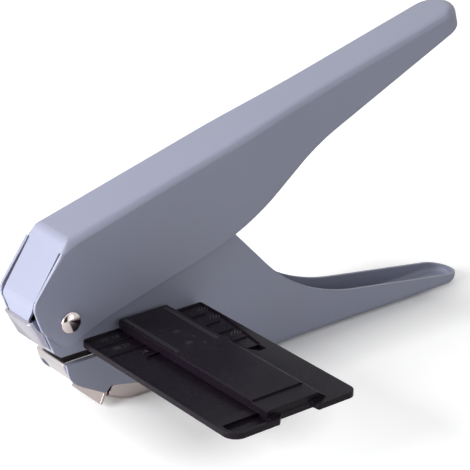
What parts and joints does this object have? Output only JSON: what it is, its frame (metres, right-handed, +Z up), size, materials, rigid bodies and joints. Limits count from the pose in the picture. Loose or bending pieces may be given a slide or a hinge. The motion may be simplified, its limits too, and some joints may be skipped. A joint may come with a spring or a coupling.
{
  "type": "disc binding punch",
  "caption": "Hand-squeezed punch that cuts a mushroom-shaped hole for disc binding, with a sprung lever, chip tray and pull-out side guide.",
  "frame": {"origin": "on the table, under the middle of the frame's flat sole", "axes": "+X from the punching nose to the grips, +Y away from the side guide, +Z up from the table"},
  "size_m": [0.2084, 0.1124, 0.1197],
  "materials": {
    "lever_paint": "fine hammered grey-blue metallic enamel",
    "frame_paint": "fine hammered grey-blue metallic enamel",
    "bright_sheet": "bright plated",
    "bright_rivet": "bright plated",
    "tool_steel": "ground hardened steel",
    "zinc_steel": "zinc plated",
    "spring_wire": "drawn wire",
    "washer_plastic": "smooth",
    "guide_plastic": "fine grained black moulding"
  },
  "bodies": {
    "frame": {"base_frame": "frame_paint", "upper_jaw": "bright_sheet", "punch_guide": "tool_steel", "die_plate": "bright_sheet", "die_block": "tool_steel", "die_screws": "zinc_steel", "frame_rivets": "zinc_steel", "pivot_pin": "bright_rivet", "pivot_cap": "bright_rivet", "pivot_washers": "washer_plastic", "pivot_spacer": "zinc_steel", "spring_washer": "zinc_steel", "return_spring": "spring_wire", "tray_pin": "zinc_steel"},
    "lever": {"lever_shell": "lever_paint", "drive_bracket": "zinc_steel", "drive_pin": "tool_steel"},
    "punch": {"punch_pin": "tool_steel", "spring_cup": "zinc_steel"},
    "tray": {"chip_tray": "bright_sheet"},
    "side_guide": {"guide_plate": "guide_plastic"}
  },
  "joints": [
    {"name": "lever_hinge", "type": "hinge", "parent": "frame", "child": "lever", "pos_m": [-0.11, 0, 0.039], "axis": [0, 1, 0], "range_deg": [0, 15.5], "stiffness_Nm_per_rad": 1.6, "springref_deg": -28.65},
    {"name": "punch_slide", "type": "slide", "parent": "frame", "child": "punch", "axis": [0, 0, 1], "range_m": [-0.00525, 0], "deforming": ["return_spring"]},
    {"name": "tray_hinge", "type": "hinge", "parent": "frame", "child": "tray", "pos_m": [-0.056, 0, 0.0032], "axis": [0, -1, 0], "range_deg": [0, 70]},
    {"name": "guide_pull", "type": "slide", "parent": "frame", "child": "side_guide", "axis": [0, -1, 0], "range_m": [0, 0.012]}
  ],
  "couplings": [
    {"joint": "punch_slide", "follows": "lever_hinge", "m_per_rad": -0.01923}
  ]
}
